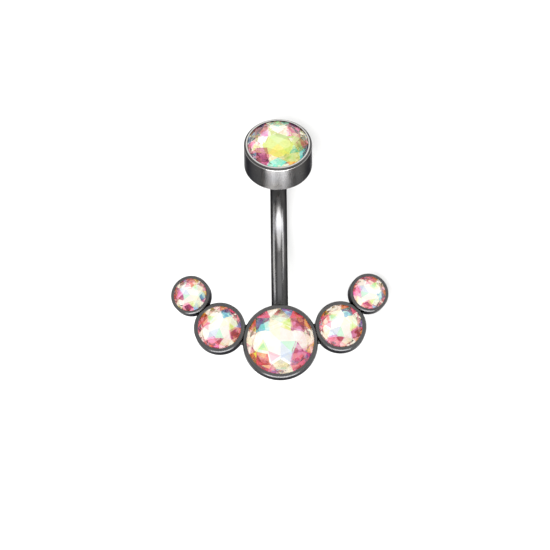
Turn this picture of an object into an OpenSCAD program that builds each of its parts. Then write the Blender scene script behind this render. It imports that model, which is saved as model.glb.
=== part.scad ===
// Navel ring: a bent bar soldered to a row of five stone cups, with a cup that screws on at the top.
// It is drawn upright, as it hangs when worn, and then laid on its back, as it lies on a table.
// Lengths are in millimetres and angles in degrees.

/* [Bar] */
// Thickness of the bar
bar_d = 1.6; // [1.2:0.1:2]
// Radius of the bar's bend, measured to its middle
bar_bend_r = 9.5; // [8:0.1:12]
// Straight length at the bar's top end, which is drilled
bar_straight = 2.4; // [2.3:0.1:4]
// Straight length at the bar's foot, up to the back of the middle cup
bar_foot = 0.6; // [0.4:0.1:2]
// How far the bar's top end points up from level
top_angle = 40; // [25:1:55]
// How far the bar's foot points down from level
foot_angle = 40; // [25:1:55]
// How far above the middle of the cup's back the foot is soldered
foot_rise = 0.8; // [0:0.1:1.5]
// How deep the foot is let into the cup's back
foot_sink = 0.2; // [0.15:0.01:0.25]
// How much the bar's straight ends are turned down, on the radius
end_step = 0.01; // [0.01:0.01:0.03]
// How far the straight ends reach into the bend
end_lap = 0.3; // [0.2:0.05:0.35]

/* [Row of cups] */
// How far the row's faces look up from level
row_tilt = 14; // [0:1:25]
// Outside diameter of the middle cup
centre_cup_d = 7.25; // [6:0.05:9]
// Outside diameter of the two inner cups
inner_cup_d = 4.95; // [4:0.05:6]
// Outside diameter of the two outer cups
outer_cup_d = 3.8; // [3:0.05:5]
// Height of the cups in the row
row_cup_h = 1.25; // [1.15:0.05:2]
// Wall of the middle and inner cups
row_wall = 0.38; // [0.3:0.01:0.5]
// Wall of the outer cups
outer_wall = 0.3; // [0.25:0.01:0.4]
// How far an inner cup stands above the middle one, as an angle about the middle cup
inner_rise = 13.7; // [0:0.1:30]
// How far an outer cup stands above the inner one, as an angle about the inner cup
outer_rise = 49.6; // [30:0.1:70]
// How far the inner cups turn outwards
inner_turn = 5; // [0:1:15]
// How far the outer cups turn outwards
outer_turn = 12; // [0:1:20]
// How far soldered cups reach into each other
solder_lap = 0.08; // [0.05:0.01:0.12]

/* [Top cup] */
// Outside diameter of the top cup
top_cup_d = 6.55; // [5:0.05:8]
// Height of the top cup
top_cup_h = 3.07; // [2.9:0.01:4]
// Wall of the top cup
top_wall = 0.36; // [0.3:0.01:0.5]
// Bevel on the top cup's outer edge
top_bevel = 0.2; // [0.1:0.01:0.3]
// Thickness of the post under the top cup
post_d = 0.9; // [0.7:0.05:1]
// Length of the post under the top cup
post_len = 2; // [1:0.1:2.1]
// Room around the post in the bar's bore
post_gap = 0.03; // [0.01:0.01:0.1]
// Room past the post's end in the bar's bore
post_end_gap = 0.15; // [0.1:0.05:0.2]
// Gap between the top cup's back and the bar's end
seat_gap = 0.02; // [0.01:0.01:0.1]

/* [Stones] */
// Gap between a stone and its cup
stone_gap = 0.03; // [0.02:0.01:0.06]
// How far the cup's lip reaches in over a stone's edge
lip = 0.05; // [0.02:0.01:0.08]
// How far a stone's edge lies below its cup's rim
stone_drop = 0.12; // [0.1:0.01:0.2]
// Height of a stone's edge band
girdle_h = 0.12; // [0.08:0.01:0.16]
// Width of a stone's flat top, as a share of its diameter
table_share = 0.5; // [0.4:0.01:0.6]
// Slope of a stone's upper facets
crown_angle = 29; // [20:1:36]
// Slope of a stone's lower facets
pavilion_angle = 12; // [8:1:14]
// Width of a stone's flat back, as a share of its diameter
back_share = 0.45; // [0.4:0.01:0.7]
// How far the inner stones are turned in their cups
inner_stone_spin = -70; // [-180:1:180]
// How far the outer stones are turned in their cups
outer_stone_spin = -145; // [-180:1:180]

/* [Edges] */
// Bevel on the row cups' outer front edges
row_bevel = 0.1; // [0.05:0.01:0.15]
// Bevel on every cup's back edge
back_bevel = 0.1; // [0.05:0.01:0.2]

/* [Lying down] */
// How far the ring tips towards its top cup when it lies on its back
lie_tip = 21.1; // [10:0.1:30]
// How far the ring leans to its right, onto its outer cup
lie_lean = 26; // [20:0.1:32]

/* [Hidden] */
$fn = 96;

LEFT = -1;
RIGHT = 1;
bar_r = bar_d / 2;
bend_sweep = 180 - top_angle - foot_angle;

// Places along the row, in the plane of its faces: x to the right and y up the row.
// Each cup touches its neighbour, less the solder's lap.
inner_step = (centre_cup_d + inner_cup_d) / 2 - solder_lap;
outer_step = (inner_cup_d + outer_cup_d) / 2 - solder_lap;
inner_place = inner_step * [cos(inner_rise), sin(inner_rise)];
outer_place = inner_place + outer_step * [cos(outer_rise), sin(outer_rise)];

// A point or direction of the row's face plane, upright: right, up the row, out of the faces.
function row_point(x, up, out) =
    [x, -out * cos(row_tilt) + up * sin(row_tilt), out * sin(row_tilt) + up * cos(row_tilt)];

// The foot's end on the middle cup's back, and the bar's middle line from there up to its top end.
foot_end = row_point(0, foot_rise, -row_cup_h);
foot_way = [0, cos(foot_angle), sin(foot_angle)];
top_way = [0, -cos(top_angle), sin(top_angle)];
bend_foot = foot_end + bar_foot * foot_way;
bend_centre = bend_foot + bar_bend_r * [0, -sin(foot_angle), cos(foot_angle)];
function bend_point(a) = bend_centre + bar_bend_r * [0, sin(foot_angle + a), -cos(foot_angle + a)];
bend_top = bend_point(bend_sweep);
bar_top = bend_top + bar_straight * top_way;
top_seat = bar_top + seat_gap * top_way;

// A stone's half diameter is what its cup leaves free.
function stone_r(cup_d, wall) = cup_d / 2 - wall + lip;
centre_stone_r = stone_r(centre_cup_d, row_wall);
inner_stone_r = stone_r(inner_cup_d, row_wall);
outer_stone_r = stone_r(outer_cup_d, outer_wall);
top_stone_r = stone_r(top_cup_d, top_wall);

// How deep a stone goes below its edge band, down to its flat back.
function pavilion_depth(r) = r * (1 - back_share) * tan(pavilion_angle);

// The corners between a stone's flat and its edge: their radius, halfway between the two, and their
// height from the edge, where neighbouring kites meet.
function mid_corner(edge_r, flat_r, h) =
    let (r = (flat_r * cos(22.5) + edge_r) / 2)
    [r, h * (edge_r - r * cos(22.5)) / (edge_r - flat_r)];

// Laying the upright ring down: it tips onto its back about X, and then leans about Y.
lie_pitch = -90 - lie_tip;
function tipped(p) = [
    p.x,
    p.y * cos(lie_pitch) - p.z * sin(lie_pitch),
    p.y * sin(lie_pitch) + p.z * cos(lie_pitch),
];
function leaned(p) = [
    p.x * cos(lie_lean) + p.z * sin(lie_lean),
    p.y,
    p.z * cos(lie_lean) - p.x * sin(lie_lean),
];
function laid(p) = leaned(tipped(p));

// The circles that bound each cup: [centre, axis, radius]. They give the laid ring's extents.
function cup_circles(back, axis, r, h, bevel) = [
    [back, axis, r - back_bevel],
    [back + back_bevel * axis, axis, r],
    [back + (h - bevel) * axis, axis, r],
    [back + h * axis, axis, r - bevel],
];
function turned_axis(side, turn) =
    row_point(side * sin(turn), 0, cos(turn));
function row_circles(side, place, turn, cup_d) =
    let (axis = turned_axis(side, turn))
    cup_circles(row_point(side * place.x, place.y, 0) - row_cup_h * axis, axis,
        cup_d / 2, row_cup_h, row_bevel);
circles = concat(
    row_circles(RIGHT, [0, 0], 0, centre_cup_d),
    row_circles(LEFT, inner_place, inner_turn, inner_cup_d),
    row_circles(RIGHT, inner_place, inner_turn, inner_cup_d),
    row_circles(LEFT, outer_place, outer_turn, outer_cup_d),
    row_circles(RIGHT, outer_place, outer_turn, outer_cup_d),
    cup_circles(top_seat, top_way, top_cup_d / 2, top_cup_h, top_bevel)
);
bend_line = [for (step = [0:40]) bend_point(bend_sweep * step / 40)];
function circle_reach(c, i) = c[2] * sqrt(1 - pow(laid(c[1])[i], 2));
function highest(i) = max(concat(
    [for (c = circles) laid(c[0])[i] + circle_reach(c, i)],
    [for (p = bend_line) laid(p)[i] + bar_r]
));
function lowest(i) = min(concat(
    [for (c = circles) laid(c[0])[i] - circle_reach(c, i)],
    [for (p = bend_line) laid(p)[i] - bar_r]
));
lie_shift = -[(lowest(0) + highest(0)) / 2, (lowest(1) + highest(1)) / 2, lowest(2)];

// Lays its children, drawn upright, on the ground with the ring's middle over the origin.
module lay_down() {
    translate(lie_shift)
        rotate([lie_pitch, lie_lean, 0])
            children();
}

// Stands its children, drawn with the face at z = 0 and looking up, in a place of the row.
module in_row(side, place, turn) {
    translate(row_point(side * place.x, place.y, 0))
        rotate([90 - row_tilt, 0, 0])
            rotate([0, side * turn, 0])
                children();
}

// Stands its children, drawn with the back at z = 0, on the bar's top end.
module on_bar_top() {
    translate(top_seat)
        rotate([90 - top_angle, 0, 0])
            children();
}

// Half profile of a cup and the room for its stone, with the rim at z = 0 and the back at -h.
module cup_profile(cup_d, h, bevel, seat_r) {
    r = cup_d / 2;
    pavilion_h = pavilion_depth(seat_r);
    room_r = seat_r + stone_gap;
    girdle_top = -stone_drop;
    girdle_low = girdle_top - girdle_h - stone_gap;
    mid = mid_corner(seat_r, seat_r * back_share, pavilion_h);
    floor_z = girdle_low - pavilion_h;
    floor_r = seat_r * back_share + stone_gap;
    lip_r = seat_r - lip;
    polygon([
        [0, -h],
        [r - back_bevel, -h],
        [r, back_bevel - h],
        [r, -bevel],
        [r - bevel, 0],
        [lip_r, 0],
        [lip_r, girdle_top + stone_gap + (room_r - lip_r) * tan(crown_angle)],
        [room_r, girdle_top + stone_gap],
        [room_r, girdle_low],
        [mid[0] + stone_gap, girdle_low - mid[1]],
        [floor_r, floor_z],
        [0, floor_z],
    ]);
}

module cup(cup_d, h, bevel, seat_r) {
    rotate_extrude()
        cup_profile(cup_d, h, bevel, seat_r);
}

module row_cup(cup_d, seat_r) {
    cup(cup_d, row_cup_h, row_bevel, seat_r);
}

// The bar's bend with its straight foot and top end, which are turned down a little and reach into it.
module bar_rod() {
    end_r = bar_r - end_step;
    translate(foot_end - bar_d * foot_way)
        rotate([foot_angle - 90, 0, 0])
            cylinder(r = end_r, h = bar_d + bar_foot + end_lap);
    translate(bend_centre)
        rotate([0, 90, 0])
            rotate([0, 0, foot_angle])
                rotate_extrude(angle = bend_sweep)
                    translate([bar_bend_r, 0])
                        circle(r = bar_r);
    translate(bend_top - end_lap * top_way)
        rotate([90 - top_angle, 0, 0])
            cylinder(r = end_r, h = end_lap + bar_straight);
}

// The rod, with its foot cut to the slope of the cup's back and its top end drilled.
module bar() {
    bore_depth = post_len + post_end_gap;
    difference() {
        bar_rod();
        in_row(RIGHT, [0, 0], 0)
            translate([-bar_d, -centre_cup_d, foot_sink - row_cup_h])
                cube([2 * bar_d, 2 * centre_cup_d, centre_cup_d]);
        translate(bar_top - bore_depth * top_way)
            rotate([90 - top_angle, 0, 0])
                cylinder(r = post_d / 2 + post_gap, h = bore_depth + seat_gap);
    }
}

// Corner rings of one side of a stone, from its flat outwards: eight flat corners, eight where the
// triangles by the flat end, and sixteen on the edge.
function stone_rings(edge_r, flat_r, h, edge_z, way) =
    let (mid = mid_corner(edge_r, flat_r, h))
    concat(
        [for (i = [0:7]) [flat_r * cos(45 * i), flat_r * sin(45 * i), edge_z + way * h]],
        [for (i = [0:7]) let (a = 45 * i + 22.5) [mid[0] * cos(a), mid[0] * sin(a), edge_z + way * mid[1]]],
        [for (j = [0:15]) [edge_r * cos(22.5 * j), edge_r * sin(22.5 * j), edge_z]]
    );

// Facets of one side, turning anticlockwise seen from above: triangles by the flat, kites, and the
// pairs of triangles along the edge. first is the number of the side's first corner.
function side_facets(first) =
    [for (i = [0:7])
        let (
            next = (i + 1) % 8,
            star = first + 8 + i,
            last_star = first + 8 + (i + 7) % 8,
            edge = first + 16 + 2 * i,
            edge_end = first + 16 + (2 * i + 2) % 16
        )
        each [
            [first + i, star, first + next],
            [first + i, last_star, edge, star],
            [star, edge, edge + 1],
            [star, edge + 1, edge_end],
        ]
    ];
function flipped(faces) = [for (f = faces) [for (i = [len(f) - 1:-1:0]) f[i]]];

// A round stone with an eight-sided table, facets above and below, and its edge at z = 0.
module cut_stone(r) {
    table_r = r * table_share;
    crown_h = (r - table_r) * tan(crown_angle);
    corners = concat(
        stone_rings(r, table_r, crown_h, 0, 1),
        stone_rings(r, r * back_share, pavilion_depth(r), -girdle_h, -1)
    );
    table = [for (i = [0:7]) i];
    back = [for (i = [0:7]) 32 + i];
    band = [for (j = [0:15]) let (k = (j + 1) % 16) [16 + j, 16 + k, 48 + k, 48 + j]];
    polyhedron(
        points = corners,
        faces = concat(flipped([table]), flipped(side_facets(0)), band, side_facets(32), [back])
    );
}

module row_stone(side, place, turn, r, spin) {
    lay_down()
        in_row(side, place, turn)
            translate([0, 0, -stone_drop])
                rotate([0, 0, spin])
                    cut_stone(r);
}

// The soldered metal: the bar, the middle cup and the two cups on each side.
module bar_and_cup_row() {
    color("#4a4a4c")
        lay_down() {
            bar();
            in_row(RIGHT, [0, 0], 0)
                row_cup(centre_cup_d, centre_stone_r);
            for (side = [LEFT, RIGHT]) {
                in_row(side, inner_place, inner_turn)
                    row_cup(inner_cup_d, inner_stone_r);
                in_row(side, outer_place, outer_turn)
                    row_cup(outer_cup_d, outer_stone_r);
            }
        }
}

// The cup that screws on, with a plain post where the thread is.
module top_cup() {
    color("#505052")
        lay_down()
            on_bar_top() {
                translate([0, 0, top_cup_h])
                    cup(top_cup_d, top_cup_h, top_bevel, top_stone_r);
                translate([0, 0, -post_len])
                    cylinder(r = post_d / 2, h = post_len + back_bevel);
            }
}

module top_stone() {
    color("#d8e58c")
        lay_down()
            on_bar_top()
                translate([0, 0, top_cup_h - stone_drop])
                    cut_stone(top_stone_r);
}

module centre_stone() {
    color("#f0b8c4")
        row_stone(RIGHT, [0, 0], 0, centre_stone_r, 0);
}

module left_inner_stone() {
    color("#e2d2b8")
        row_stone(LEFT, inner_place, inner_turn, inner_stone_r, inner_stone_spin);
}

module right_inner_stone() {
    color("#e2d2b8")
        row_stone(RIGHT, inner_place, inner_turn, inner_stone_r, inner_stone_spin);
}

module left_outer_stone() {
    color("#bfe0d8")
        row_stone(LEFT, outer_place, outer_turn, outer_stone_r, outer_stone_spin);
}

module right_outer_stone() {
    color("#bfe0d8")
        row_stone(RIGHT, outer_place, outer_turn, outer_stone_r, outer_stone_spin);
}

bar_and_cup_row();
top_cup();
top_stone();
centre_stone();
left_inner_stone();
right_inner_stone();
left_outer_stone();
right_outer_stone();
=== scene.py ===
from collections import namedtuple
import math

import bpy
import numpy as np
from mathutils import Matrix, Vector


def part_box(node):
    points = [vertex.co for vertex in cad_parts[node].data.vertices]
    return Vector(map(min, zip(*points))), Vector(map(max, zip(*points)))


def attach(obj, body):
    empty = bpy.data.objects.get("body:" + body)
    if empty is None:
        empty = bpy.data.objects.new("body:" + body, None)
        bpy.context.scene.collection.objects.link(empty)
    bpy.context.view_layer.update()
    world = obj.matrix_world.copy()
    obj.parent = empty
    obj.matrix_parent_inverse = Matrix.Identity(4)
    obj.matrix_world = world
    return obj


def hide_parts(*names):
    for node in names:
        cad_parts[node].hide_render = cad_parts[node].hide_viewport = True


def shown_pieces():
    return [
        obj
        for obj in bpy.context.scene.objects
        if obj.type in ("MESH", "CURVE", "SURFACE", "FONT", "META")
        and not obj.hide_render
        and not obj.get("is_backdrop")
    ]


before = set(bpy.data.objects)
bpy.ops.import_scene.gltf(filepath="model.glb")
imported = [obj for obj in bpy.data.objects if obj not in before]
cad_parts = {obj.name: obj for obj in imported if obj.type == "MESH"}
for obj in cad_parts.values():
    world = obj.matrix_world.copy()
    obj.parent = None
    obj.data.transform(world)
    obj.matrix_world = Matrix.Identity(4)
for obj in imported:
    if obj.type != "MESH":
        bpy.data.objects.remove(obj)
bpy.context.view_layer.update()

# The navel ring is shaped upright in millimetres, as it is worn: x to the right, y away from the
# camera, z up, with the middle cup's face centre at 0. Each piece is then laid down with the frame.
MM = 0.001

# How the ring lies: tipped onto its back, then leaning to its right.
LIE_TIP = 21.1
LIE_LEAN = 26.0

# Bar
BAR_D = 1.6
BAR_BEND_R = 9.5
BAR_STRAIGHT = 2.4
BAR_FOOT = 0.6
TOP_ANGLE = 40.0
FOOT_ANGLE = 40.0
FOOT_RISE = 0.8
FOOT_SINK = 0.2
BAR_END_ROUND = 0.12

# Row of cups
ROW_TILT = 14.0
CENTRE_CUP_D = 7.25
INNER_CUP_D = 4.95
OUTER_CUP_D = 3.8
ROW_CUP_H = 1.25
ROW_WALL = 0.38
OUTER_WALL = 0.3
INNER_RISE = 13.7
OUTER_RISE = 49.6
INNER_TURN = 5.0
OUTER_TURN = 12.0

# Solder. It goes on a little way inside the pieces that it joins.
SOLDER_LAP = 0.08
SOLDER_ROUND = 0.2
SOLDER_TOP = 0.55
SOLDER_COLLAR = 0.4
BEAD_SINK = 0.07
BEAD_END_SHARE = 0.6
COLLAR_SINK = 0.05

# Top cup with its screw
TOP_CUP_D = 6.55
TOP_CUP_H = 3.07
TOP_WALL = 0.36
POST_D = 0.9
POST_LEN = 2.0
POST_GAP = 0.03
POST_END_GAP = 0.15
POST_TIP_W = 0.14
POST_TIP_H = 0.08
SEAT_GAP = 0.02
THREAD_PITCH = 0.25
THREAD_DEPTH = 0.06

# Stones in their cups
STONE_GAP = 0.03
LIP = 0.05
STONE_DROP = 0.12
GIRDLE_H = 0.12
TABLE_SHARE = 0.5
CROWN_ANGLE = 29.0
PAVILION_ANGLE = 12.0
BACK_SHARE = 0.45
INNER_STONE_SPIN = -70.0
OUTER_STONE_SPIN = -145.0

# Edges. A hold is how far from an edge one more ring keeps the straight skin flat.
ROW_BEVEL = 0.1
TOP_BEVEL = 0.2
BACK_BEVEL = 0.1
EDGE_ROUND = 0.04
LIP_ROUND = 0.02
BORE_EDGE_W = 0.05
BORE_EDGE_H = 0.08
BORE_HOLD = 0.2
BAR_END_HOLD = 0.05

# Wear of the film, and painted highlights of light steel, by the number that the edge attribute holds
WORN = 1.0
HIGHLIGHT_LINE = 1.5
BARE_AND_HIGHLIGHT = 2.0

# Where the wear and the painted highlights change: how far under a bevel they end, how far out of a
# lip's edge the burnished rim with its painted highlight starts, the leeway in finding the rim's points,
# and the shares of the top cup's bevel between which the film is whole.
WEAR_AND_HIGHLIGHT_FADE = 0.045
RIM_START = 0.05
RIM_LEEWAY = 0.01
WHOLE_BEVEL = (0.2, 0.8)

# Steps round the turned pieces, and rings and steps along the curves
CUP_STEPS = 160
BAR_STEPS = 96
SCREW_STEPS = 64
BAR_RINGS = 120
THREAD_TURN_RINGS = 12
COLLAR_RINGS = 14
BEAD_RINGS = 16
BEAD_ARC_STEPS = 12

# Camera, as the photo is framed
PHOTO_FIELD = 52.9
PHOTO_CENTRE = (-0.433, 0.0, 6.35)
PHOTO_ROLL = 0.7
CAMERA_AWAY = 1200.0

# Studio, in metres
LAMP_AWAY = 0.4
BOARD_HALF = 1.5

LEFT = -1
RIGHT = 1
SIDES = [("left", LEFT), ("right", RIGHT)]


def spin(axis, degrees):
    """Rotation matrix about one axis, as a numpy array."""
    return np.array(Matrix.Rotation(math.radians(degrees), 3, axis))


def unit(vector):
    """The same way with length 1."""
    vector = np.asarray(vector, float)
    return vector / np.linalg.norm(vector)


def polar(length, degrees):
    """Plane point at that length and angle."""
    return length * np.array([math.cos(math.radians(degrees)), math.sin(math.radians(degrees))])


class Spot:
    """Where a turned part stands: at(points) turns local millimetres, face at z = 0, to upright ones."""

    def __init__(self, origin, turn):
        self.origin = np.asarray(origin, float)
        self.turn = turn
        self.axis = turn[:, 2]

    def at(self, points):
        return points @ self.turn.T + self.origin


def row_point(x, up, out):
    """Upright place of a point in the row's face plane: right, up the row, out of the faces."""
    tilt = math.radians(ROW_TILT)
    return np.array([
        x,
        up * math.sin(tilt) - out * math.cos(tilt),
        up * math.cos(tilt) + out * math.sin(tilt),
    ])


def row_spot(side, place, turn):
    """Where a cup of the row stands, turned outwards by turn degrees."""
    facing = spin("X", 90 - ROW_TILT) @ spin("Y", side * turn)
    return Spot(row_point(side * place[0], place[1], 0), facing)


# Places in the row's face plane. Each cup reaches SOLDER_LAP into its neighbour.
inner_place = polar((CENTRE_CUP_D + INNER_CUP_D) / 2 - SOLDER_LAP, INNER_RISE)
outer_place = inner_place + polar((INNER_CUP_D + OUTER_CUP_D) / 2 - SOLDER_LAP, OUTER_RISE)

# The bar's middle line: a foot on the middle cup's back, the bend and the straight top end.
bar_r = BAR_D / 2
bend_sweep = math.radians(180 - TOP_ANGLE - FOOT_ANGLE)
foot_turn = math.radians(FOOT_ANGLE)
foot_end = row_point(0, FOOT_RISE, -ROW_CUP_H)
foot_way = np.array([0, math.cos(foot_turn), math.sin(foot_turn)])
foot_out = np.array([0, math.sin(foot_turn), -math.cos(foot_turn)])
bend_centre = foot_end + BAR_FOOT * foot_way - BAR_BEND_R * foot_out
bar_length = BAR_FOOT + BAR_BEND_R * bend_sweep + BAR_STRAIGHT


def on_bar(points):
    """Carries points along the bar: z is the length from its foot, and x and y lie across it.

    Past the foot the middle line bends with t = angle + length / radius, so its place is
    centre + radius (0, sin t, -cos t), plus what is left of the length along (0, cos t, sin t).
    """
    along = points[:, 2] - BAR_FOOT
    bent = np.clip(along / BAR_BEND_R, 0, bend_sweep)
    t = foot_turn + bent
    left = along - bent * BAR_BEND_R
    zero = np.zeros_like(t)
    outward = np.stack([zero, np.sin(t), -np.cos(t)], axis=1)
    forward = np.stack([zero, np.cos(t), np.sin(t)], axis=1)
    across = np.stack([points[:, 0], zero, zero], axis=1)
    return bend_centre + across + (BAR_BEND_R + points[:, 1:2]) * outward + left[:, None] * forward


bar_top = on_bar(np.array([[0, 0, bar_length]]))[0]
top_way = np.array([0, -math.cos(math.radians(TOP_ANGLE)), math.sin(math.radians(TOP_ANGLE))])
top_seat = bar_top + SEAT_GAP * top_way
top_back_spot = Spot(top_seat, spin("X", 90 - TOP_ANGLE))
top_spot = Spot(top_seat + TOP_CUP_H * top_way, top_back_spot.turn)
centre_spot = row_spot(RIGHT, (0, 0), 0)


def stone_r(cup_d, wall):
    """Half the stone's width, which is what its cup leaves free."""
    return cup_d / 2 - wall + LIP


centre_stone_r = stone_r(CENTRE_CUP_D, ROW_WALL)
inner_stone_r = stone_r(INNER_CUP_D, ROW_WALL)
outer_stone_r = stone_r(OUTER_CUP_D, OUTER_WALL)
top_stone_r = stone_r(TOP_CUP_D, TOP_WALL)

# The cups of the row with their stones
RowCup = namedtuple("RowCup", "name side place turn cup_d stone_r stone_spin")
ROW = [
    RowCup("centre", RIGHT, (0, 0), 0, CENTRE_CUP_D, centre_stone_r, 0),
    *[
        RowCup(f"{name}_inner", side, inner_place, INNER_TURN, INNER_CUP_D, inner_stone_r, INNER_STONE_SPIN)
        for name, side in SIDES
    ],
    *[
        RowCup(f"{name}_outer", side, outer_place, OUTER_TURN, OUTER_CUP_D, outer_stone_r, OUTER_STONE_SPIN)
        for name, side in SIDES
    ],
]


def mid_corner(edge_r, flat_r, height):
    """Radius and height of the corners between a stone's flat and its edge, where kites meet.

    The radius is halfway between the middle of the flat's side and the edge. The height is the one
    that keeps each kite flat: at x, from the flat to the edge, it is height (edge - x) / (edge - flat).
    """
    eighth = math.cos(math.radians(22.5))
    r = (flat_r * eighth + edge_r) / 2
    return r, height * (edge_r - r * eighth) / (edge_r - flat_r)


def pavilion_depth(r):
    """Height of a stone's back facets, which slope at one angle from its edge to its flat."""
    return r * (1 - BACK_SHARE) * math.tan(math.radians(PAVILION_ANGLE))


def stone_side(edge_r, flat_r, height, edge_z, way):
    """Corners of one side of a stone: eight on the flat, eight between and sixteen on the edge.

    Each is at (r cos a, r sin a, z), in even steps of a. way is 1 for the crown and -1 for the back.
    """
    mid_r, mid_h = mid_corner(edge_r, flat_r, height)
    eight = np.arange(8) * math.pi / 4
    sixteen = np.arange(16) * math.pi / 8
    rings = [
        (eight, flat_r, edge_z + way * height),
        (eight + math.pi / 8, mid_r, edge_z + way * mid_h),
        (sixteen, edge_r, edge_z),
    ]
    return np.concatenate([
        np.stack([r * np.cos(a), r * np.sin(a), np.full_like(a, z)], axis=1) for a, r, z in rings
    ])


def stone_corners(r):
    """Corners of a whole stone in its cup: 32 above, 32 below and the middle of its back."""
    table_r = r * TABLE_SHARE
    crown_h = (r - table_r) * math.tan(math.radians(CROWN_ANGLE))
    pavilion_h = pavilion_depth(r)
    girdle_low = -STONE_DROP - GIRDLE_H
    return np.concatenate([
        stone_side(r, table_r, crown_h, -STONE_DROP, 1),
        stone_side(r, r * BACK_SHARE, pavilion_h, girdle_low, -1),
        [[0, 0, girdle_low - pavilion_h]],
    ])


# Lays upright points on the ground as the frame has them. The middle stone's CAD box gives the shift.
LAY = spin("Y", LIE_LEAN) @ spin("X", -90 - LIE_TIP)
centre_low = (centre_spot.at(stone_corners(centre_stone_r)) @ LAY.T).min(axis=0)
lay_shift = np.array(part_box("centre_stone")[0]) / MM - centre_low


def laid(points):
    """Upright millimetres to the frame's metres."""
    return (np.asarray(points) @ LAY.T + lay_shift) * MM


def laid_way(way):
    """An upright direction in the frame."""
    return LAY @ unit(way)


# Meshes


def rounded(corners, steps=6, hold=0.015):
    """Outline (r, z, worn) through corners (r, z, round), with an arc of that radius at each.

    An arc starts round * tan(turn / 2) before its corner and ends as far after it, and a point
    hold away on each side keeps the straight stretch flat. worn is WORN on an arc and 0 elsewhere.
    """
    corners = np.array(corners, float)
    spots = corners[:, :2]
    out = [[*spots[0], 0]]
    for before, here, after, bend in zip(spots[:-2], spots[1:-1], spots[2:], corners[1:-1, 2]):
        if bend == 0:
            out.append([*here, 0])
            continue
        come = unit(here - before)
        go = unit(after - here)
        turn = math.atan2(come[0] * go[1] - come[1] * go[0], come @ go)
        reach = bend * math.tan(abs(turn) / 2)
        start = here - reach * come
        centre = start + math.copysign(bend, turn) * np.array([-come[1], come[0]])
        arm = start - centre
        out.append([*(start - hold * come), 0])
        for k in np.linspace(0, turn, steps + 1):
            swung = np.array([
                arm[0] * math.cos(k) - arm[1] * math.sin(k),
                arm[0] * math.sin(k) + arm[1] * math.cos(k),
            ])
            out.append([*(centre + swung), WORN])
        out.append([*(here + reach * go + hold * go), 0])
    out.append([*spots[-1], 0])
    return np.array(out)


def add_piece(name, points, faces, body, material, smooth=True, values=None):
    """One piece of the ring from upright points, riding on its body, with float values by attribute."""
    mesh = bpy.data.meshes.new(name)
    mesh.from_pydata(laid(points).tolist(), [], faces)
    mesh.polygons.foreach_set("use_smooth", np.full(len(mesh.polygons), smooth))
    for key, array in (values or {}).items():
        kind, field = ("FLOAT_VECTOR", "vector") if array.ndim == 2 else ("FLOAT", "value")
        layer = mesh.attributes.new(key, kind, "POINT")
        layer.data.foreach_set(field, array.astype(np.float32).ravel())
    mesh.materials.append(material)
    mesh.update()
    piece = bpy.data.objects.new(name, mesh)
    bpy.context.scene.collection.objects.link(piece)
    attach(piece, body)
    return piece


def skinned(name, rings, ends, grain, place, body, material, wear_and_highlight):
    """A closed metal skin over rings of points (row, step, xyz), with one point before and one after.

    grain is a vector and worn a number for each ring point, and place carries the points to the
    upright ring. The faces turn outwards by the sign of the skin's volume.
    """
    rows, steps = rings.shape[:2]
    points = place(np.concatenate([rings.reshape(-1, 3), ends]))
    index = np.arange(rows * steps).reshape(rows, steps)
    following = np.roll(index, -1, axis=1)
    quads = np.stack([index[:-1], following[:-1], following[1:], index[1:]], axis=2).reshape(-1, 4)
    first = np.stack([np.full(steps, rows * steps), following[0], index[0]], axis=1)
    last = np.stack([np.full(steps, rows * steps + 1), index[-1], following[-1]], axis=1)
    corners = np.concatenate([quads[:, :3], quads[:, [0, 2, 3]], first, last])
    a, b, c = points[corners].transpose(1, 0, 2)
    faces = quads.tolist() + first.tolist() + last.tolist()
    if np.einsum("ij,ij->", a, np.cross(b, c)) < 0:
        faces = [face[::-1] for face in faces]
    values = {
        "grain": np.concatenate([grain.reshape(-1, 3), grain[0, :1], grain[-1, :1]]),
        "worn_edge": np.concatenate([wear_and_highlight.ravel(), [0, 0]]),
    }
    return add_piece(name, points, faces, body, material, True, values)


def turned(name, outline, place, body, material, steps=CUP_STEPS, wave=None):
    """Lathe work: each outline point (r, z) goes round the axis as (r cos a, r sin a, z).

    The outline starts and ends on the axis, where one point closes the skin. wave(a, z) adds to r.
    The grain runs once round a circle of 3 mm for each ring, and along the outline's length.
    """
    grain_r = 3
    r, z, wear_and_highlight = outline[1:-1].T
    a = np.arange(steps) * 2 * math.pi / steps
    radius = np.repeat(r[:, None], steps, axis=1)
    if wave:
        radius = radius + wave(a[None, :], z[:, None])
    height = np.broadcast_to(z[:, None], radius.shape)
    rings = np.stack([radius * np.cos(a), radius * np.sin(a), height], axis=2)
    ends = np.array([[0, 0, outline[0, 1]], [0, 0, outline[-1, 1]]])
    length = np.cumsum(np.hypot(*np.diff(outline[:, :2], axis=0).T))[:-1]
    grain = np.stack([
        np.broadcast_to(grain_r * np.cos(a), radius.shape),
        np.broadcast_to(grain_r * np.sin(a), radius.shape),
        np.broadcast_to(length[:, None], radius.shape),
    ], axis=2)
    wear_and_highlight = np.repeat(wear_and_highlight[:, None], steps, axis=1)
    return skinned(name, rings, ends, grain, place, body, material, wear_and_highlight)


# Materials


def linear(code):
    """sRGB hex colour to linear red, green, blue and alpha."""
    srgb = np.array([int(code[i:i + 2], 16) for i in (1, 3, 5)]) / 255
    low = srgb <= 0.04045
    return (*np.where(low, srgb / 12.92, ((srgb + 0.055) / 1.055) ** 2.4).tolist(), 1.0)


def per_metre(size):
    """Scale of a pattern on Object coordinates whose marks are that many millimetres wide."""
    return 1 / (size * MM)


def new_material(name):
    """An empty node material and its tree."""
    material = bpy.data.materials.new(name)
    material.use_nodes = True
    material.node_tree.nodes.clear()
    return material, material.node_tree


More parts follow.
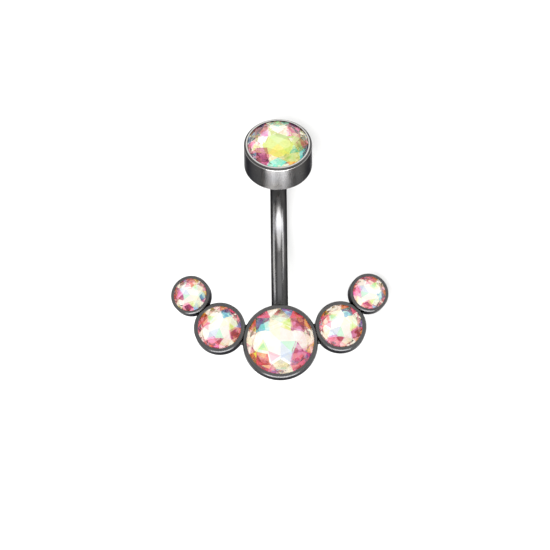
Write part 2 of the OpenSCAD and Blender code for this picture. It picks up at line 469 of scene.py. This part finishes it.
def add_node(tree, kind, settings=None, **inputs):
    """One node with its settings. Each input is a value or a socket, named or, as _6, by its number.

    A _ inside the name of an input stands for a space.
    """
    node = tree.nodes.new(kind)
    for key, value in (settings or {}).items():
        setattr(node, key, value)
    for key, value in inputs.items():
        socket = node.inputs[int(key[1:])] if key[1:].isdigit() else node.inputs[key.replace("_", " ")]
        if isinstance(value, bpy.types.NodeSocket):
            tree.links.new(value, socket)
        else:
            socket.default_value = value
    return node


def film_plated_steel(name, cool, warm):
    """Stainless steel turned on a lathe, polished, and plated with a dark vapour-deposited film.

    The film gives a dark grey mirror that stays dark seen edge-on. Faint rings are left by turning,
    and the film's thickness drifts between a cool and a warm grey. It is thinner where edges rub
    (WORN). On the top cup, the lip pressed over the stone is painted as light plain steel at the top
    level, partly burnishing and partly a painted highlight, and the line where the bevel meets the wall
    is painted half way to it, as a painted highlight.
    """
    rubbed = linear("#747374")
    # Light plain steel for the top cup's rim and bevel line: partly burnishing, partly painted highlight
    bare_steel_highlight = linear("#c4c2bf")
    turning_pitch = 0.05
    material, tree = new_material(name)
    grain = add_node(tree, "ShaderNodeAttribute", {"attribute_name": "grain"}).outputs["Vector"]
    wear_and_highlight = add_node(tree, "ShaderNodeAttribute", {"attribute_name": "worn_edge"}).outputs["Fac"]
    place = add_node(tree, "ShaderNodeTexCoord").outputs["Object"]
    # Film clouds about 2 mm wide
    clouds = add_node(tree, "ShaderNodeTexNoise", Vector=place, Scale=per_metre(2.0), Detail=3.0)
    warmth = add_node(
        tree, "ShaderNodeMapRange", Value=clouds.outputs["Fac"], From_Min=0.35, From_Max=0.65
    ).outputs["Result"]
    film = add_node(
        tree, "ShaderNodeMix", {"data_type": "RGBA"}, Factor=warmth, _6=linear(cool), _7=linear(warm)
    ).outputs[2]
    # Rubbed spots about 0.3 mm long along the edges
    spots = add_node(tree, "ShaderNodeTexNoise", Vector=place, Scale=per_metre(0.303), Detail=2.0)
    rub = add_node(
        tree, "ShaderNodeMath", {"operation": "MULTIPLY"}, _0=spots.outputs["Fac"], _1=wear_and_highlight
    ).outputs[0]
    colour = add_node(
        tree, "ShaderNodeMix", {"data_type": "RGBA"}, Factor=rub, _6=film, _7=rubbed
    ).outputs[2]
    # Painted highlight: above the wear level the colour turns towards the light plain steel
    bare_and_highlight_share = add_node(
        tree, "ShaderNodeMapRange", Value=wear_and_highlight, From_Min=WORN, From_Max=BARE_AND_HIGHLIGHT
    ).outputs["Result"]
    colour = add_node(
        tree, "ShaderNodeMix", {"data_type": "RGBA"}, Factor=bare_and_highlight_share, _6=colour, _7=bare_steel_highlight
    ).outputs[2]
    # Turning rings 0.05 mm apart, drawn out along the grain that runs round the piece
    stretch = add_node(tree, "ShaderNodeMapping", Vector=grain, Scale=(0.15, 0.15, 1 / turning_pitch))
    rings = add_node(
        tree, "ShaderNodeTexNoise", Vector=stretch.outputs["Vector"], Scale=1.0, Detail=4.0
    ).outputs["Fac"]
    bump = add_node(tree, "ShaderNodeBump", Height=rings, Strength=0.08, Distance=0.02 * MM)
    # Smears about 0.9 mm wide where the polish is duller
    smears = add_node(tree, "ShaderNodeTexNoise", Vector=place, Scale=per_metre(0.909), Detail=4.0)
    rough = add_node(
        tree, "ShaderNodeMapRange", Value=smears.outputs["Fac"],
        From_Min=0.3, From_Max=0.7, To_Min=0.2, To_Max=0.28,
    ).outputs["Result"]
    shader = add_node(
        tree, "ShaderNodeBsdfPrincipled", Base_Color=colour, Metallic=1.0, Roughness=rough,
        Normal=bump.outputs["Normal"], Specular_Tint=(0.3, 0.3, 0.31, 1.0),
    )
    add_node(tree, "ShaderNodeOutputMaterial", Surface=shader.outputs["BSDF"])
    return material


def coated_crystal():
    """Lead-free crystal glass, cut and polished: clear, with optically smooth flats.

    A vacuum-coated rainbow film on the crown tints what is seen through each facet in its own film
    colour, which the facet's own colour attribute holds.
    """
    material, tree = new_material("coated_crystal")
    film = add_node(tree, "ShaderNodeAttribute", {"attribute_name": "film_colour"}).outputs["Color"]
    shader = add_node(
        tree, "ShaderNodeBsdfPrincipled",
        Base_Color=film, Roughness=0.0, IOR=1.54, Transmission_Weight=1.0,
    )
    add_node(tree, "ShaderNodeOutputMaterial", Surface=shader.outputs["BSDF"])
    return material


def rainbow_foil():
    """The stone's back: cut glass with a vacuum-coated rainbow film over silver foil.

    Each back facet mirrors in its own film colour, which the facet's own colour attribute holds, and
    the film's thickness drifts a little across it. Each facet also has small painted glints, paler or
    deeper than the film and of nearby hues, painted in as a stand-in for light that turns back twice in
    the stone, as far as the attribute's alpha says.
    """
    material, tree = new_material("rainbow_foil")
    film = add_node(tree, "ShaderNodeAttribute", {"attribute_name": "film_colour"})
    place = add_node(tree, "ShaderNodeTexCoord").outputs["Object"]
    # Film drift about 0.8 mm wide
    drift = add_node(tree, "ShaderNodeTexNoise", Vector=place, Scale=per_metre(0.8), Detail=2.0)
    paleness = add_node(
        tree, "ShaderNodeMapRange", Value=drift.outputs["Fac"], From_Min=0.35, From_Max=0.65
    ).outputs["Result"]
    shade = add_node(
        tree, "ShaderNodeMix", {"data_type": "RGBA"},
        Factor=paleness, _6=linear("#fdfaf2"), _7=linear("#ffffff"),
    ).outputs[2]
    # Painted glints about 0.4 mm wide, each with its own chance, standing in for light turned back in the
    # stone
    cells = add_node(tree, "ShaderNodeTexVoronoi", Vector=place, Scale=per_metre(0.4))
    chance = add_node(tree, "ShaderNodeSeparateColor", Color=cells.outputs["Color"])
    deepness = add_node(
        tree, "ShaderNodeMapRange", Value=chance.outputs["Red"],
        From_Min=0.15, From_Max=0.85, To_Min=0.3, To_Max=1.15,
    ).outputs["Result"]
    nearby = add_node(
        tree, "ShaderNodeMapRange", Value=chance.outputs["Green"],
        From_Min=0.15, From_Max=0.85, To_Min=0.46, To_Max=0.53,
    ).outputs["Result"]
    hue = add_node(tree, "ShaderNodeMix", Factor=film.outputs["Alpha"], _2=0.5, _3=nearby).outputs[0]
    share = add_node(tree, "ShaderNodeMix", Factor=film.outputs["Alpha"], _2=1.0, _3=deepness).outputs[0]
    tinted = add_node(tree, "ShaderNodeHueSaturation", Hue=hue, Color=film.outputs["Color"])
    painted_glints = add_node(
        tree, "ShaderNodeGamma", Color=tinted.outputs["Color"], Gamma=share
    ).outputs["Color"]
    colour = add_node(
        tree, "ShaderNodeMix", {"data_type": "RGBA", "blend_type": "MULTIPLY"},
        Factor=1.0, _6=painted_glints, _7=shade,
    ).outputs[2]
    shader = add_node(tree, "ShaderNodeBsdfPrincipled", Base_Color=colour, Metallic=1.0, Roughness=0.08)
    add_node(tree, "ShaderNodeOutputMaterial", Surface=shader.outputs["BSDF"])
    return material


# The bar's copy of the film is painted darker than the cups': painted shade, standing in for the dark
# surroundings that its flanks reflect.
steel = film_plated_steel("film_plated_steel", "#4b4b4c", "#525150")
shaded_bar_steel = film_plated_steel("film_plated_bar_painted_dark", "#39393a", "#403f3e")
crystal = coated_crystal()
foil = rainbow_foil()

# Cups, turned from bar stock


def cup_outline(cup_d, height, bevel, seat_r, holds=()):
    """Half section of a cup, from the back's middle round the wall, rim and lip to the floor's middle.

    holds are shares of the bevel's width at which it has another point, for the wear and the painted
    highlight to change at.
    """
    r = cup_d / 2
    room_r = seat_r + STONE_GAP
    girdle_top = -STONE_DROP
    girdle_low = girdle_top - GIRDLE_H - STONE_GAP
    pavilion_h = pavilion_depth(seat_r)
    mid_r, mid_h = mid_corner(seat_r, seat_r * BACK_SHARE, pavilion_h)
    floor_z = girdle_low - pavilion_h
    lip_r = seat_r - LIP
    lip_low = girdle_top + STONE_GAP + (room_r - lip_r) * math.tan(math.radians(CROWN_ANGLE))
    return rounded([
        (0, -height, 0),
        (r - BACK_BEVEL, -height, EDGE_ROUND),
        (r, BACK_BEVEL - height, EDGE_ROUND),
        (r, -bevel - WEAR_AND_HIGHLIGHT_FADE, 0),
        (r, -bevel, EDGE_ROUND),
        *[(r - share * bevel, (share - 1) * bevel, 0) for share in holds],
        (r - bevel, 0, EDGE_ROUND),
        (lip_r + RIM_START, 0, 0),
        (lip_r, 0, LIP_ROUND),
        (lip_r, lip_low, 0),
        (room_r, girdle_top + STONE_GAP, 0),
        (room_r, girdle_low, 0),
        (mid_r + STONE_GAP, girdle_low - mid_h, 0),
        (seat_r * BACK_SHARE + STONE_GAP, floor_z, 0),
        (0, floor_z, 0),
    ])


def add_row_cup(cup):
    """One cup of the row."""
    outline = cup_outline(cup.cup_d, ROW_CUP_H, ROW_BEVEL, cup.stone_r)
    place = row_spot(cup.side, cup.place, cup.turn).at
    piece = turned(f"{cup.name}_cup", outline, place, "ring", steel)
    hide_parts("bar_and_cup_row")


def add_top_cup():
    """The top cup, with its rim painted as light steel, partly burnishing and partly painted highlight, and
    the line where its bevel meets the wall painted half as light, as a painted highlight.
    """
    outline = cup_outline(TOP_CUP_D, TOP_CUP_H, TOP_BEVEL, top_stone_r, WHOLE_BEVEL)
    r, z, wear_and_highlight = outline.T
    # Painted highlights: the rim gets the light steel colour in full, and the line under the bevel half of
    # it
    on_burnished_highlight_rim = (z > -RIM_LEEWAY) & (r > top_stone_r - LIP + RIM_START - RIM_LEEWAY)
    line_top = (WHOLE_BEVEL[0] - 1) * TOP_BEVEL
    line_low = -TOP_BEVEL - WEAR_AND_HIGHLIGHT_FADE
    on_highlight_line = (z < line_top) & (z > line_low) & (r > top_stone_r + STONE_GAP)
    outline[:, 2] = np.select([on_burnished_highlight_rim, on_highlight_line], [BARE_AND_HIGHLIGHT, HIGHLIGHT_LINE], wear_and_highlight)
    piece = turned("top_cup_turned", outline, top_spot.at, "top", steel)
    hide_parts("top_cup")


# Screw post and the bar with its bore


def thread_wave(a, z):
    """Wave of a screw thread: a triangle between 0 and minus the thread's depth, one turn to a pitch."""
    phase = (z / THREAD_PITCH - a / (2 * math.pi)) % 1
    return -THREAD_DEPTH * np.abs(2 * phase - 1)


def add_screw():
    """The threaded post on the top cup's back, with a narrower tip."""
    post_r = POST_D / 2
    ring_count = round(POST_LEN / THREAD_PITCH * THREAD_TURN_RINGS)
    thread_z = np.linspace(POST_TIP_H - POST_LEN, 0, ring_count)
    outline = np.array([
        [0, -POST_LEN, 0],
        [post_r - POST_TIP_W, -POST_LEN, 0],
        *[[post_r, z, 0] for z in thread_z],
        [post_r, BACK_BEVEL, 0],
        [0, BACK_BEVEL, 0],
    ])
    piece = turned("top_cup_screw", outline, top_back_spot.at, "top", steel, SCREW_STEPS, thread_wave)
    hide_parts("top_cup")


foot_slope = foot_way @ centre_spot.axis


def foot_cut(y, sink):
    """Length along the foot at which the line y off its middle is sink inside the middle cup's back."""
    return (sink - y * (foot_out @ centre_spot.axis)) / foot_slope


def on_cut_bar(points):
    """Carries points along the bar, with its foot cut level with the cup's back and FOOT_SINK inside it.

    Each line along the skin starts at its own cut: z' = z + cut (1 - z / reach), up to z = reach.
    """
    reach = BAR_FOOT + BAR_D
    z = points[:, 2]
    shift = foot_cut(points[:, 1], FOOT_SINK) * np.clip(1 - z / reach, 0, 1)
    return on_bar(np.stack([points[:, 0], points[:, 1], z + shift], axis=1))


def add_bar():
    """The bent bar: a rod with a rounded top end and a bore with a broken edge."""
    bore_r = POST_D / 2 + POST_GAP
    bore_end = bar_length - POST_LEN - POST_END_GAP
    rod_z = np.linspace(0, bar_length - BAR_END_ROUND - BAR_END_HOLD, BAR_RINGS)
    top_end = rounded([
        (bar_r, bar_length - BAR_STRAIGHT, 0),
        (bar_r, bar_length, BAR_END_ROUND),
        (bore_r + BORE_EDGE_W, bar_length, LIP_ROUND),
        (bore_r, bar_length - BORE_EDGE_H, LIP_ROUND),
        (bore_r, bar_length - BORE_HOLD, 0),
    ])[1:]
    outline = np.concatenate([
        [[0, 0, 0]],
        np.stack([np.full_like(rod_z, bar_r), rod_z, np.zeros_like(rod_z)], axis=1),
        top_end,
        [[bore_r, bore_end, 0]],
        [[0, bore_end, 0]],
    ])
    # The bar takes the darker copy of the film, whose darkness is painted shade
    piece = turned("bent_bar", outline, on_cut_bar, "ring", shaded_bar_steel, BAR_STEPS)
    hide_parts("bar_and_cup_row")


# Solder


def add_solder(name, rings, ends, place):
    """A soldered skin. It has no turning marks, so its grain is the points' own place."""
    unworn = np.zeros(rings.shape[:2])
    piece = skinned(f"{name}_solder", rings, ends, rings, place, "ring", steel, unworn)
    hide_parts("bar_and_cup_row")


def add_collar():
    """The solder collar round the bar's foot, hollow like a quarter pipe.

    For each line along the foot, the collar runs from the bar, SOLDER_COLLAR above the cup's back, to the
    back, as far out, on the curve (1 - t)^2 high + 2 t (1 - t) corner + t^2 out. It closes inside both.
    """
    a = np.arange(BAR_STEPS) * 2 * math.pi / BAR_STEPS
    x = bar_r * np.cos(a)
    y = bar_r * np.sin(a)
    cut = foot_cut(y, 0)
    corner = on_bar(np.stack([x, y, cut], axis=1))
    high = on_bar(np.stack([x, y, cut + SOLDER_COLLAR], axis=1))
    away = corner - corner.mean(axis=0)
    out = corner + SOLDER_COLLAR * away / np.linalg.norm(away, axis=1)[:, None]
    t = np.linspace(0, 1, COLLAR_RINGS)[:, None, None]
    curve = (1 - t) ** 2 * high + 2 * t * (1 - t) * corner + t ** 2 * out
    into = COLLAR_SINK * centre_spot.axis
    inner = (high + high.mean(axis=0)) / 2
    rings = np.concatenate([[inner], curve, [out + into]])
    ends = np.array([high.mean(axis=0), out.mean(axis=0) + into])
    add_solder("foot", rings, ends, np.asarray)


def arc(centre, radius, start, sweep, steps):
    """Plane points on an arc, from the start angle over the sweep, in radians."""
    a = start + np.linspace(0, sweep, steps)
    return np.stack([centre[0] + radius * np.cos(a), centre[1] + radius * np.sin(a)], axis=1)


def bead_outline(distance, r, other_r):
    """Plane outline of the solder between cups of those radii, at 0 and at distance along x.

    Each hollow side is an arc of radius SOLDER_ROUND that touches both cups. Its middle and the two
    cups' middles make a triangle with the sides distance, near and far, which gives the angles. The
    far sides follow the cups BEAD_SINK inside their walls.
    """
    near = r + SOLDER_ROUND
    far = other_r + SOLDER_ROUND
    at_near = math.acos((distance ** 2 + near ** 2 - far ** 2) / (2 * distance * near))
    at_far = math.acos((distance ** 2 + far ** 2 - near ** 2) / (2 * distance * far))
    hollow = near * np.array([math.cos(at_near), math.sin(at_near)])
    sweep = math.pi - at_near - at_far
    upper = arc(hollow, SOLDER_ROUND, math.pi + at_near, sweep, BEAD_ARC_STEPS)
    return np.concatenate([
        upper,
        arc((distance, 0), other_r - BEAD_SINK, math.pi - at_far, 2 * at_far, BEAD_ARC_STEPS),
        upper[::-1] * [1, -1],
        arc((0, 0), r - BEAD_SINK, -at_near, 2 * at_near, BEAD_ARC_STEPS),
    ])


def add_bead(name, side, place, other, r, other_r, turn):
    """Solder between two cups of radius r and other_r: a waist with hollow sides, rounded at its ends.

    At depth d, from -1 to 1, it has the share e + (1 - e) sqrt(1 - d^4) of its width, e at its ends.
    """
    gap = other - place
    distance = np.linalg.norm(gap)
    lean = math.atan2(gap[1], gap[0])
    swing = np.array([[math.cos(lean), -math.sin(lean)], [math.sin(lean), math.cos(lean)]])
    middle = np.array([(distance + r - other_r) / 2, 0])
    outline = bead_outline(distance, r, other_r)
    depth = np.linspace(-1, 1, BEAD_RINGS)
    share = BEAD_END_SHARE + (1 - BEAD_END_SHARE) * np.sqrt(1 - depth ** 4)
    low = BACK_BEVEL - ROW_CUP_H
    high = -SOLDER_TOP
    heights = (low + high) / 2 + depth * (high - low) / 2
    plane = (outline[None] - middle) * share[:, None, None] @ swing.T
    rings = np.concatenate([plane, np.repeat(heights[:, None, None], len(outline), axis=1)], axis=2)
    rings[:, :, 0] *= side
    ends = np.array([[0, 0, heights[0]], [0, 0, heights[-1]]])
    add_solder(name, rings, ends, row_spot(side, place + swing @ middle, turn).at)


def add_beads(side_name, side):
    """The two beads of solder on one side of the row, each turned halfway between its cups."""
    add_bead(
        f"{side_name}_inner", side, np.zeros(2), inner_place,
        CENTRE_CUP_D / 2, INNER_CUP_D / 2, INNER_TURN / 2,
    )
    add_bead(
        f"{side_name}_outer", side, inner_place, outer_place,
        INNER_CUP_D / 2, OUTER_CUP_D / 2, (INNER_TURN + OUTER_TURN) / 2,
    )


# Stones

# Colours that the rainbow coating shows on the crown or on the foiled back
FILM = {
    "clear": "#ffffff",
    "pearl": "#fffefa",
    "cream": "#f5ecd0",
    "blush": "#fdf1ec",
    "ivory": "#fbf7e4",
    "lemon": "#f3f18a",
    "lime": "#ddeea0",
    "fern": "#cfe49c",
    "pear": "#d2de88",
    "straw": "#ded870",
    "olive": "#c8d08a",
    "mint": "#cdf3dc",
    "frost": "#e0f8e6",
    "aqua": "#86dfe2",
    "sky": "#a8cdf4",
    "teal": "#92cfe2",
    "mist": "#e0e8f6",
    "plum": "#b4527a",
    "magenta": "#ea82b6",
    "pink": "#f7a2bd",
    "crimson": "#ea80a0",
    "salmon": "#f09c98",
    "wine": "#94406a",
    "amber": "#f59a3c",
    "peach": "#fbdcc0",
}

# Film colours of a row stone and of the top stone, given facet by facet, from the right turning
# anticlockwise. The crown and the back each have 8 triangles by their flat, 8 kites and 16 triangles
# along the edge. The flat back is 8 slices, and the table is clear.
CROWN_FACETS = ("crown_star", "crown_kite", "crown_edge")
BACK_FACETS = ("back_star", "back_kite", "back_edge", "back_flat")
ROW_FILM = {
    "crown_star": "pearl lime ivory pearl lime pink mist blush",
    "crown_kite": "blush crimson frost mint pearl blush pearl magenta",
    "crown_edge": "pearl crimson crimson sky pearl crimson lemon pearl "
                  "pearl lemon salmon pink pearl pink magenta pink",
    "back_star": "blush lime ivory pearl mint pearl mist plum",
    "back_kite": "blush plum ivory teal ivory salmon blush pink",
    "back_edge": "pearl blush pink sky pearl blush lemon pearl "
                 "pearl lemon blush pink blush pink magenta blush",
    "back_flat": "blush blush ivory pearl pearl pearl mist mint",
}
TOP_FILM = {
    "crown_star": "lime pearl pearl mist pearl peach lime lime",
    "crown_kite": "olive magenta pearl magenta pearl plum cream lime",
    "crown_edge": "cream cream plum pearl pearl plum magenta pearl "
                  "pearl plum wine mint mint lime aqua aqua",
    "back_star": "lime cream fern pearl pearl peach pear aqua",
    "back_kite": "olive pink pearl pink pearl wine aqua lime",
    "back_edge": "pearl pearl blush pearl pearl pink pearl sky "
                 "pearl aqua magenta aqua blush amber aqua aqua",
    "back_flat": "pear fern fern pear pear straw straw pear",
}

# How strong the small painted glints are on the flat back, where they are 1 on the facets
FLAT_PAINTED_GLINTS = 0.15


def side_facets(first):
    """Facets of one side from its first corner's number: 8 triangles, 8 kites and 16 edge triangles."""
    stars, kites, edges = [], [], []
    for i in range(8):
        star = first + 8 + i
        last_star = first + 8 + (i - 1) % 8
        edge = first + 16 + 2 * i
        edge_end = first + 16 + (2 * i + 2) % 16
        stars.append([first + i, star, first + (i + 1) % 8])
        kites.append([first + i, last_star, edge, star])
        edges += [[star, edge, edge + 1], [star, edge + 1, edge_end]]
    return stars + kites + edges


def film_names(film, facets):
    """The film colours of those facets, as one list of names."""
    return " ".join(film[key] for key in facets).split()


def add_stone(node, spot, r, turn, film, body):
    """A brilliant-cut stone: a crown of coated glass over a foiled edge band, back facets and flat back."""
    crown = [list(range(8))] + side_facets(0)
    band = [[16 + j, 48 + j, 48 + (j + 1) % 16, 16 + (j + 1) % 16] for j in range(16)]
    back = [face[::-1] for face in side_facets(32)]
    flat = [[64, 32 + (i + 1) % 8, 32 + i] for i in range(8)]
    faces = crown + band + back + flat
    points = spot.at(stone_corners(r) @ spin("Z", turn).T)
    piece = add_piece(f"{node}_cut", points, faces, body, crystal, False)
    piece.data.materials.append(foil)
    foiled = np.arange(len(faces)) >= len(crown)
    piece.data.polygons.foreach_set("material_index", foiled.astype(np.int32))
    tints = ["clear", *film_names(film, CROWN_FACETS)]
    tints += ["pearl"] * len(band)
    tints += film_names(film, BACK_FACETS)
    colours = np.array([linear(FILM[tint]) for tint in tints])
    # The alpha holds how strong the painted glints are
    colours[-len(flat):, 3] = FLAT_PAINTED_GLINTS
    sides = [len(face) for face in faces]
    layer = piece.data.color_attributes.new("film_colour", "FLOAT_COLOR", "CORNER")
    layer.data.foreach_set("color", np.repeat(colours, sides, axis=0).astype(np.float32).ravel())
    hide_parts(node)


# Studio


def stood(across, up, back, place):
    """World matrix of a camera or lamp at that place in metres, which looks away from back."""
    basis = np.eye(4)
    basis[:3] = np.stack([across, up, back, place], axis=1)
    return Matrix(basis.tolist())


def add_camera():
    """Long lens from the photo's side, square to the upright ring's front and rolled a little."""
    camera = bpy.data.cameras.new("photo_camera")
    camera.lens = camera.sensor_width * CAMERA_AWAY / PHOTO_FIELD
    camera.clip_start = 0.01
    camera.clip_end = 10.0
    rig = bpy.data.objects.new("photo_camera", camera)
    roll = math.radians(PHOTO_ROLL)
    across = laid_way((math.cos(roll), 0, -math.sin(roll)))
    up = laid_way((math.sin(roll), 0, math.cos(roll)))
    back = laid_way((0, -1, 0))
    rig.matrix_world = stood(across, up, back, laid([PHOTO_CENTRE])[0] + back * CAMERA_AWAY * MM)
    bpy.context.scene.collection.objects.link(rig)
    bpy.context.scene.camera = rig


def add_floor():
    """A wide matt white board, which the ring lies on."""
    corners = [(x * BOARD_HALF, y * BOARD_HALF, 0) for x, y in ((-1, -1), (1, -1), (1, 1), (-1, 1))]
    mesh = bpy.data.meshes.new("floor")
    mesh.from_pydata(corners, [], [(0, 1, 2, 3)])
    material, tree = new_material("matt_white_board")
    shader = add_node(tree, "ShaderNodeBsdfPrincipled", Base_Color=linear("#f7f7f6"), Roughness=0.7)
    add_node(tree, "ShaderNodeOutputMaterial", Surface=shader.outputs["BSDF"])
    mesh.materials.append(material)
    floor = bpy.data.objects.new("floor", mesh)
    bpy.context.scene.collection.objects.link(floor)
    floor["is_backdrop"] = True
    return floor


def add_room():
    """An even white room, and enough bounces for light that turns back and forth in the stones."""
    world = bpy.data.worlds.new("white_room")
    world.use_nodes = True
    world.node_tree.nodes.clear()
    sky = add_node(world.node_tree, "ShaderNodeBackground", Color=linear("#ffffff"), Strength=1.0)
    add_node(world.node_tree, "ShaderNodeOutputWorld", Surface=sky.outputs["Background"])
    scene = bpy.context.scene
    scene.world = world
    scene.view_settings.view_transform = "Standard"
    scene.cycles.max_bounces = 20
    scene.cycles.glossy_bounces = 16
    scene.cycles.transmission_bounces = 16


def lit(label, objects):
    """A collection of the objects that a lamp may light."""
    group = bpy.data.collections.new(f"lit_{label}")
    for piece in objects:
        group.objects.link(piece)
    return group


def softbox(name, way, width, height, glow, group, shape="RECTANGLE", past=False):
    """Area lamp that faces the ring from that upright direction, with its size in metres.

    glow is the radiance of a rectangle, and the lamp lights only the objects in group. With past, no
    other piece shades them.
    """
    light = bpy.data.lights.new(name, "AREA")
    light.shape = shape
    light.size = width
    light.size_y = height
    light.energy = glow * math.pi * width * height
    lamp = bpy.data.objects.new(name, light)
    back = laid_way(way)
    steep = abs(unit(way)[2]) > 0.9
    across = unit(np.cross(laid_way((0, 1, 0) if steep else (0, 0, 1)), back))
    lamp.matrix_world = stood(across, np.cross(back, across), back, back * LAMP_AWAY)
    lamp.visible_camera = False
    lamp.light_linking.receiver_collection = group
    if past:
        lamp.light_linking.blocker_collection = group
    bpy.context.scene.collection.objects.link(lamp)


def add_softboxes():
    """Soft boxes before, below and beside the upright ring. All but a weak one light only metal."""
    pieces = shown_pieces()
    metal = lit("metal", [piece for piece in pieces if "stone" not in piece.name])
    stones = lit("stones", [piece for piece in pieces if "stone" in piece.name])
    cups = lit("cups", [piece for piece in pieces if "_cup" in piece.name])
    top_cup = lit("top_cup", [piece for piece in pieces if "top_cup" in piece.name])
    bar = lit("bar", [piece for piece in pieces if piece.name == "bent_bar"])
    softbox("room_box", (0, -0.75, -0.65), 0.5, 0.5, 1.4, metal)
    softbox("stone_box", (0, -0.99, -0.12), 1.0, 1.2, 0.12, stones)
    softbox("front_box", (0, -0.788, -0.616), 0.5, 0.42, 9.0, bar, "ELLIPSE")
    softbox("wide_box", (0, -0.68, -0.73), 1.05, 0.16, 13.0, bar, "ELLIPSE")
    softbox("low_box", (0.14, 0.12, -1), 0.56, 0.3, 14.0, top_cup, past=True)
    softbox("rim_box", (0, -0.469, -0.883), 0.5, 0.08, 9.0, cups)
    softbox("face_box", (0, -0.883, 0.469), 0.5, 0.2, 0.5, cups)
    softbox("bar_box", (0, -0.886, 0.463), 0.45, 0.5, 2.4, bar)
    softbox("left_strip", (-0.92, -0.15, -0.05), 0.18, 0.6, 11.0, bar)
    softbox("right_strip", (0.84, -0.42, -0.1), 0.18, 0.6, 16.0, bar, past=True)


def add_board_glow(floor):
    """A lamp without shadows that lifts only the board to white."""
    light = bpy.data.lights.new("board_glow", "SUN")
    light.energy = 1.5
    light.use_shadow = False
    lamp = bpy.data.objects.new("board_glow", light)
    lamp.light_linking.receiver_collection = lit("board", [floor])
    bpy.context.scene.collection.objects.link(lamp)


for cup in ROW:
    add_row_cup(cup)
add_top_cup()
add_screw()
add_bar()
add_collar()
for side_name, side in SIDES:
    add_beads(side_name, side)
for cup in ROW:
    spot = row_spot(cup.side, cup.place, cup.turn)
    add_stone(f"{cup.name}_stone", spot, cup.stone_r, cup.stone_spin, ROW_FILM, "ring")
add_stone("top_stone", top_spot, top_stone_r, 0, TOP_FILM, "top")

add_camera()
board = add_floor()
add_room()
add_softboxes()
add_board_glow(board)
